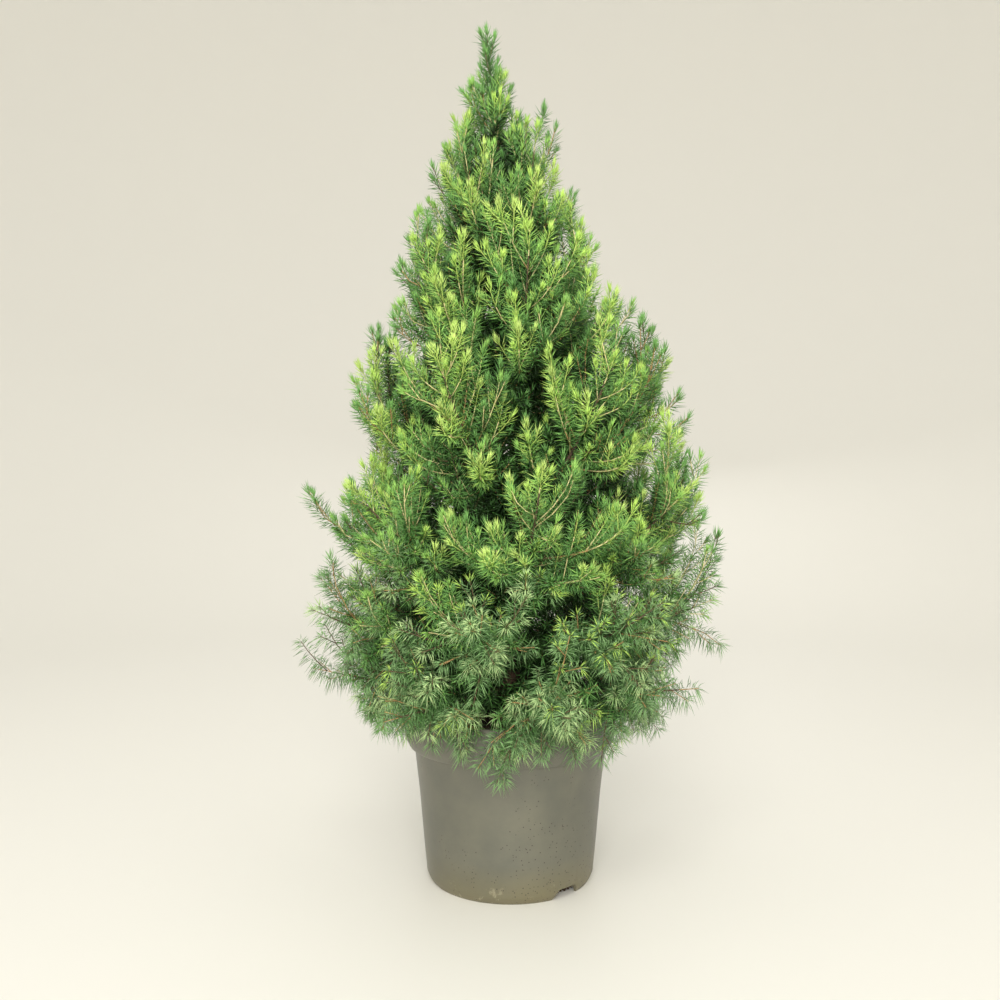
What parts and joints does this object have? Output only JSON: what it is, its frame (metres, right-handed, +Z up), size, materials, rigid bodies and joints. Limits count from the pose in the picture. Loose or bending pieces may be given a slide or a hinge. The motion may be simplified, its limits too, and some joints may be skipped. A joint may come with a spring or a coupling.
{
  "type": "potted dwarf alberta spruce",
  "caption": "Young conical dwarf spruce in a round grey nursery pot, with lime new tips over green and blue-green older needles.",
  "frame": {"origin": "centre of the pot's underside, on the surface the pot stands on", "axes": "+Z up along the plant's height, -Y towards the front, +X to the right of the front"},
  "size_m": [0.4803, 0.4829, 0.962],
  "materials": {
    "pot plastic": "satin",
    "soil": "matte",
    "bark": "matte",
    "needles": "matte"
  },
  "bodies": {
    "root": {"pot": "pot plastic", "soil": "soil", "trunk": "bark", "bough_skirt_1": "bark", "foliage_skirt_1": "needles", "bough_skirt_2": "bark", "foliage_skirt_2": "needles", "bough_skirt_3": "bark", "foliage_skirt_3": "needles", "bough_skirt_4": "bark", "foliage_skirt_4": "needles", "bough_skirt_5": "bark", "foliage_skirt_5": "needles", "bough_skirt_6": "bark", "foliage_skirt_6": "needles", "bough_skirt_7": "bark", "foliage_skirt_7": "needles", "bough_low_1": "bark", "foliage_low_1": "needles", "bough_low_2": "bark", "foliage_low_2": "needles", "bough_low_3": "bark", "foliage_low_3": "needles", "bough_low_4": "bark", "foliage_low_4": "needles", "bough_low_5": "bark", "foliage_low_5": "needles", "bough_low_6": "bark", "foliage_low_6": "needles", "bough_low_7": "bark", "foliage_low_7": "needles", "bough_middle_1": "bark", "foliage_middle_1": "needles", "bough_middle_2": "bark", "foliage_middle_2": "needles", "bough_middle_3": "bark", "foliage_middle_3": "needles", "bough_middle_4": "bark", "foliage_middle_4": "needles", "bough_middle_5": "bark", "foliage_middle_5": "needles", "bough_middle_6": "bark", "foliage_middle_6": "needles", "foliage_upper_1": "needles", "foliage_upper_2": "needles", "foliage_upper_3": "needles", "foliage_upper_4": "needles", "foliage_upper_5": "needles", "foliage_upper_6": "needles", "foliage_high_1": "needles", "foliage_high_2": "needles", "foliage_high_3": "needles", "foliage_high_4": "needles", "foliage_high_5": "needles", "foliage_crest_1": "needles", "foliage_crest_2": "needles", "foliage_crest_3": "needles", "foliage_crest_4": "needles", "foliage_leader": "needles"}
  },
  "joints": []
}
